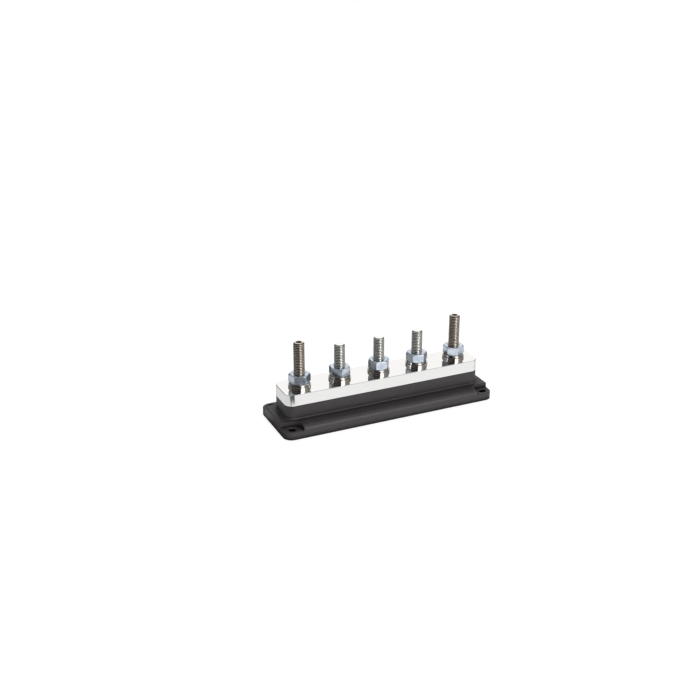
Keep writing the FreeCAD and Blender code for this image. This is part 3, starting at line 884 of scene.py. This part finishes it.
def make_stud(number):
    """A stud with its head, its plain shank, its thread and its end."""
    node = "stud_%d" % number
    tapped = number in TAPPED_STUDS
    finish = finishes["end stud" if tapped else "middle stud"]
    foot = middle(node)
    top = height_of(node)
    start = thread_start - foot.z
    end_radius = stud_radius - TIP_CHAMFER
    across_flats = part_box(node)[1][1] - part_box(node)[0][1]
    inner = across_flats * HEAD_MIDDLE

    shape = hexagon_shell(across_flats, HEAD_HEIGHT, inner, stud_radius)
    revolve(shape, [(0, 0), (inner, 0)])
    shank_end = start - TIP_CHAMFER
    revolve(shape, [(stud_radius, HEAD_HEIGHT), (stud_radius, shank_end), (end_radius, start)])
    add_thread(
        shape,
        outer_thread,
        start,
        finish=finish,
        length=top - start,
        crest_radius=stud_radius,
        root_radius=stud_radius - ROOT_DEPTH,
        pitch=PITCH,
        start_radius=end_radius,
        end_radius=end_radius,
    )
    if tapped:
        bottom = top - HOLE_MOUTH - hole_depth
        mouth = hole_radius + HOLE_MOUTH
        wide = hole_radius + 0.5 * SMALL_PITCH
        revolve(shape, [(end_radius, top), (mouth, top)])
        revolve(shape, [(wide, bottom), (0, bottom - DRILL_CONE)])
        add_thread(
            shape,
            inner_thread,
            bottom,
            finish=finish,
            length=top - bottom,
            crest_radius=wide,
            root_radius=hole_radius,
            pitch=SMALL_PITCH,
            start_radius=wide,
            end_radius=mouth,
        )
    else:
        revolve(shape, [(end_radius, top), (0, top)])
    open_edges = close(shape, in_thread=lambda point: point.z > start)
    place = Matrix.Translation(foot)
    mesh = to_mesh(shape, node)
    piece = place_piece("threaded_stud_%d" % number, mesh, place, "fixed", node, finish)
    print(piece.name, len(piece.data.polygons), "faces,", open_edges, "open edges")


for number in STUDS:
    make_stud(number)

# %% [markdown]
# ## The nuts
# A nut's thread must lie in the stud's thread, and the nut is turned by some angle about the stud.
# So the nut's thread starts part of a turn in, which its height on the stud and its turn give. The
# nut rides on the body that climbs, and its thread stays in the stud's thread all the way up.

# %% Make the nuts
NUT_TURNS = {1: 41.4, 2: 20.1, 3: 51.9, 4: 43.7, 5: 27.2}
THREAD_CLEARANCE = 0.05 * MM
BORE_ROOT_DEPTH = 0.54127 * PITCH
BORE_MOUTH = 0.45 * MM
BORE_WALL = 0.1 * MM
ACROSS_FLATS = 17 * MM


def make_nut(number):
    """A hexagon nut with its thread, turned about its stud."""
    node = "nut_%d" % number
    foot = Vector((middle("stud_%d" % number).x, 0, middle(node).z))
    tall = height_of(node)
    turn = NUT_TURNS[number] / 360
    mouth = stud_radius + THREAD_CLEARANCE + BORE_MOUTH
    shape = hexagon_shell(ACROSS_FLATS, tall, mouth, mouth)
    add_thread(
        shape,
        inner_thread,
        0,
        finish=finishes["nut"],
        length=tall,
        crest_radius=stud_radius + THREAD_CLEARANCE,
        root_radius=stud_radius - BORE_ROOT_DEPTH,
        pitch=PITCH,
        phase=(foot.z - thread_start) / PITCH - turn,
        start_radius=mouth,
        end_radius=mouth,
    )
    open_edges = close(shape, in_thread=lambda point: point.xy.length < mouth - BORE_WALL)
    place = Matrix.Translation(foot) @ Matrix.Rotation(turn * math.tau, 4, "Z")
    mesh = to_mesh(shape, node)
    body = "rising_%d" % number
    piece = place_piece("hexagon_nut_%d" % number, mesh, place, body, node, finishes["nut"])
    print(piece.name, len(piece.data.polygons), "faces,", open_edges, "open edges")


for number in STUDS:
    make_nut(number)

# %% [markdown]
# ## The washers
# Both kinds of washer come from their geometry trees, with the sizes of the solids that they stand
# for. The flat washers stay down on the bar. Each spring washer turns with its nut.

# %% Make the washers
WASHER_HOLE = stud_radius + 0.35 * MM
WASHERS = {
    "flat_washer": {
        "tree": flat_ring,
        "outer": radius_of("flat_washer_1"),
        "edge": 0.22 * MM,
        "turns": {},
        "body": "fixed",
        "name": "stamped_washer_{}",
    },
    "spring_washer": {
        "tree": split_ring,
        "outer": max(radius_of("spring_washer_%d" % number) for number in STUDS),
        "edge": 0.28 * MM,
        "turns": {1: 60.0, 2: 235.0, 3: 85.0, 4: 215.0, 5: 140.0},
        "body": "turning_{}",
        "name": "split_washer_{}",
    },
}


def make_washer(kind, number):
    """A washer of a kind on one stud."""
    node = "%s_%d" % (kind, number)
    recipe = WASHERS[kind]
    foot = Vector((middle("stud_%d" % number).x, 0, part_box(node)[0][2]))
    mesh = run_tree(
        recipe["tree"],
        finish=finishes[kind],
        thickness=height_of(node),
        edge=recipe["edge"],
        radius=(recipe["outer"] + WASHER_HOLE) / 2,
        ring=recipe["outer"] - WASHER_HOLE,
    )
    turn = math.radians(recipe["turns"].get(number, 0.0))
    place = Matrix.Translation(foot) @ Matrix.Rotation(turn, 4, "Z")
    mesh.set_sharp_from_angle(angle=SMOOTH_BELOW)
    name, body = recipe["name"].format(number), recipe["body"].format(number)
    return place_piece(name, mesh, place, body, node, finishes[kind])


for kind in WASHERS:
    pieces = [make_washer(kind, number) for number in STUDS]
    print(kind, [len(piece.data.polygons) for piece in pieces], "faces")

# %% [markdown]
# ## Floor and surroundings
# The object stands on plain white paper. The camera sees only white round it, and a faint shadow.
#
# Metal shows what stands round it more than its own colour, so the surroundings decide how the bar
# and the studs look. As in a studio, a tall bright screen stands in front, a pale backdrop behind,
# and a dimmer screen hangs high on the left. The room is dark on the left and paler on the right,
# with a few pale walls further round that show from other sides. Light Path gives these to mirrored
# rays only, so the plain light stays even.

# %% The surroundings that metal mirrors
# Brightness across the room: -1 is the far left, 0 straight ahead or above, and 1 the far right.
ACROSS_THE_ROOM = (
    (-1.0, 0.06),
    (-0.45, 0.04),
    (-0.10, 0.05),
    (0.14, 0.09),
    (0.27, 0.62),
    (0.50, 0.62),
    (1.0, 0.28),
)
# The screens: where each hangs, how wide it and its soft edge are, in degrees, and how bright.
SCREENS = (
    {"azimuth": 155, "elevation": 34, "half_width": 22, "soft": 6, "strength": 1.0},
    {"azimuth": 11, "elevation": 12, "half_width": 13, "soft": 8, "strength": 4.2},
    {"azimuth": 12, "elevation": 34, "half_width": 13, "soft": 8, "strength": 4.2},
    {"azimuth": -110, "elevation": 68, "half_width": 32, "soft": 10, "strength": 0.45},
    {"azimuth": -134, "elevation": 24, "half_width": 13, "soft": 7, "strength": 0.38},
    {"azimuth": -90, "elevation": 4, "half_width": 9, "soft": 6, "strength": 0.6},
    {"azimuth": 180, "elevation": 4, "half_width": 9, "soft": 6, "strength": 0.6},
)
EVEN_LIGHT = 0.36


def direction(azimuth, elevation):
    """A direction away from the object: azimuth 0 is its front, and 90 its right."""
    a, e = math.radians(azimuth), math.radians(elevation)
    return Vector((math.sin(a) * math.cos(e), -math.cos(a) * math.cos(e), math.sin(e)))


def add_ramp(tree, value, stops):
    """A value that runs in straight lines between the stops, which lie between -1 and 1."""
    ramp = tree.nodes.new("ShaderNodeValToRGB")
    tree.links.new(add_spread(tree, value, -1.0, 1.0), ramp.inputs[0])
    elements = ramp.color_ramp.elements
    while len(elements) < len(stops):
        elements.new(0.5)
    for element, (place, level) in zip(elements, stops):
        element.position = (place + 1) / 2
        element.color = (level, level, level, 1.0)
    return ramp.outputs["Color"]


def sort_rays(tree):
    """1 for rays from the camera, and 1 for rays that something glossy or clear has sent on."""
    rays = tree.nodes.new("ShaderNodeLightPath").outputs
    glossy = sum_writer(tree)("MAXIMUM", rays["Is Glossy Ray"], rays["Is Transmission Ray"])
    return rays["Is Camera Ray"], glossy


def make_world():
    """White for the camera, an even light for plain surfaces, and the room for mirrored rays."""
    world = bpy.data.worlds.new("white studio")
    bpy.context.scene.world = world
    world.use_nodes = True
    tree = world.node_tree
    do = sum_writer(tree)
    sky = next(node for node in tree.nodes if node.type == "BACKGROUND")
    sky.inputs["Color"].default_value = (1.0, 1.0, 1.0, 1.0)
    looking = tree.nodes.new("ShaderNodeTexCoord").outputs["Generated"]
    mirrored = add_ramp(tree, add_match(tree, looking, Vector((1, 0, 0))), ACROSS_THE_ROOM)
    for screen in SCREENS:
        towards = add_match(tree, looking, direction(screen["azimuth"], screen["elevation"]))
        outer = math.cos(math.radians(screen["half_width"] + screen["soft"]))
        inner = math.cos(math.radians(screen["half_width"]))
        light = add_spread(tree, towards, outer, inner, 0.0, screen["strength"])
        mirrored = do("MAXIMUM", mirrored, light)

    camera_ray, glossy = sort_rays(tree)
    plain = do("SUBTRACT", 1.0, do("MAXIMUM", camera_ray, glossy))
    total = do("ADD", camera_ray, do("MULTIPLY", plain, EVEN_LIGHT))
    tree.links.new(do("ADD", total, do("MULTIPLY", glossy, mirrored)), sky.inputs["Strength"])


make_world()

# %% The paper under the object
FLOOR_SIZE = 6.0
PAPER = (0.40, 0.40, 0.40, 1.0)
# The paper's own glow for the camera grows between two distances, from one level to the other.
GLOW_DISTANCES = (0.3, 1.2)
GLOW_LEVELS = (0.75, 0.90)
TABLE_MIRRORED = 0.12
CARD_SOFT = 6 * MM
FAR = 3.0
# White cards on the table: where each begins and ends along X and along Y, and how bright it is.
CARDS = (
    {"x": (-0.070, FAR), "y": (-FAR, -0.032), "strength": 1.0},
    {"x": (-0.113, -0.050), "y": (-0.071, -0.032), "strength": 1.0},
    {"x": (-0.125, -0.070), "y": (-FAR, -0.090), "strength": 0.26},
    {"x": (-0.172, -0.116), "y": (-0.060, 0.2), "strength": 0.78},
    {"x": (-0.130, -0.098), "y": (0.014, 0.2), "strength": 0.78},
    {"x": (-FAR, FAR), "y": (-FAR, -0.320), "strength": 0.9},
    {"x": (0.090, FAR), "y": (-0.060, FAR), "strength": 0.75},
    {"x": (-0.020, FAR), "y": (0.062, FAR), "strength": 0.75},
)


def make_floor():
    """Paper that takes the object's shadow, and that metal mirrors as a dim table with cards."""
    shape = bmesh.new()
    bmesh.ops.create_grid(shape, x_segments=1, y_segments=1, size=FLOOR_SIZE / 2)
    mesh = to_mesh(shape, "floor")
    floor = bpy.data.objects.new("floor", mesh)
    bpy.context.scene.collection.objects.link(floor)
    material = bpy.data.materials.new("white floor")
    material.use_nodes = True
    tree = material.node_tree
    tree.nodes.clear()
    do = sum_writer(tree)
    camera_ray, glossy = sort_rays(tree)
    paper = add_node(tree, "ShaderNodeBsdfDiffuse", {"Color": PAPER})
    glow = tree.nodes.new("ShaderNodeEmission")
    place = object_place(tree)
    reach = add_node(tree, "ShaderNodeVectorMath", {0: place}, operation="LENGTH")
    white = add_spread(tree, reach.outputs["Value"], *GLOW_DISTANCES, *GLOW_LEVELS, smooth=True)
    feed(tree, glow, {"Strength": do("MULTIPLY", camera_ray, white)})
    both = add_node(tree, "ShaderNodeAddShader", {0: paper.outputs[0], 1: glow.outputs[0]})

    # What metal mirrors of it: the cards' edges fade over a short way, and the table is dim.
    parts = split(tree, place)
    mirrored = TABLE_MIRRORED
    for card in CARDS:
        level = card["strength"]
        for along, (low, high) in ((parts["X"], card["x"]), (parts["Y"], card["y"])):
            above = add_spread(tree, along, low - CARD_SOFT, low + CARD_SOFT)
            below = add_spread(tree, along, high + CARD_SOFT, high - CARD_SOFT)
            level = do("MULTIPLY", do("MULTIPLY", above, below), level)
        mirrored = do("MAXIMUM", level, mirrored)
    seen = add_node(tree, "ShaderNodeEmission", {"Strength": mirrored})
    choice = tree.nodes.new("ShaderNodeMixShader")
    feed(tree, choice, {0: glossy, 1: both.outputs[0], 2: seen.outputs[0]})
    add_node(tree, "ShaderNodeOutputMaterial", {"Surface": choice.outputs[0]})
    mesh.materials.append(material)


make_floor()

# %% [markdown]
# ## Lamps
# Three large, soft lamps light the object evenly. Their own shapes aren't mirrored in the metal,
# because the screens above already give it what it mirrors.

# %% Add the lamps
def add_lamp(name, azimuth, elevation, distance, size, power):
    """A square lamp that looks at the object."""
    light = bpy.data.lights.new(name, "AREA")
    light.shape = "SQUARE"
    light.size = size
    light.energy = power
    lamp = bpy.data.objects.new(name, light)
    lamp.location = direction(azimuth, elevation) * distance
    lamp.rotation_euler = direction(azimuth, elevation).to_track_quat("Z", "Y").to_euler()
    lamp.visible_glossy = False
    bpy.context.scene.collection.objects.link(lamp)


add_lamp("key", azimuth=10, elevation=14, distance=1.2, size=0.5, power=12)
add_lamp("fill", azimuth=-70, elevation=20, distance=1.4, size=0.6, power=6)
add_lamp("back", azimuth=165, elevation=55, distance=1.2, size=0.7, power=7)

# %% [markdown]
# ## The camera
# The camera stands where the photograph's camera stood. Its direction, distance and lens were found
# from the base's corners and the studs, whose real places the CAD model gives.

# %% Set the camera
CAMERA_AZIMUTH = -24.518
CAMERA_ELEVATION = 23.309
CAMERA_DISTANCE = 1117.3 * MM
CAMERA_TARGET = Vector((29.07 * MM, 125.04 * MM, 0.0))
FOCAL_LENGTH = 56.92
SENSOR_WIDTH = 36.0

lens = bpy.data.cameras.new("camera")
lens.lens = FOCAL_LENGTH
lens.sensor_width = SENSOR_WIDTH
lens.sensor_fit = "HORIZONTAL"
lens.clip_start = 10 * MM
camera = bpy.data.objects.new("camera", lens)
back = direction(CAMERA_AZIMUTH, CAMERA_ELEVATION)
camera.location = CAMERA_TARGET + back * CAMERA_DISTANCE
camera.rotation_euler = back.to_track_quat("Z", "Y").to_euler()
bpy.context.scene.collection.objects.link(camera)
bpy.context.scene.camera = camera
bpy.context.scene.view_settings.view_transform = "Standard"
print("camera at mm:", [round(value / MM, 1) for value in camera.location])
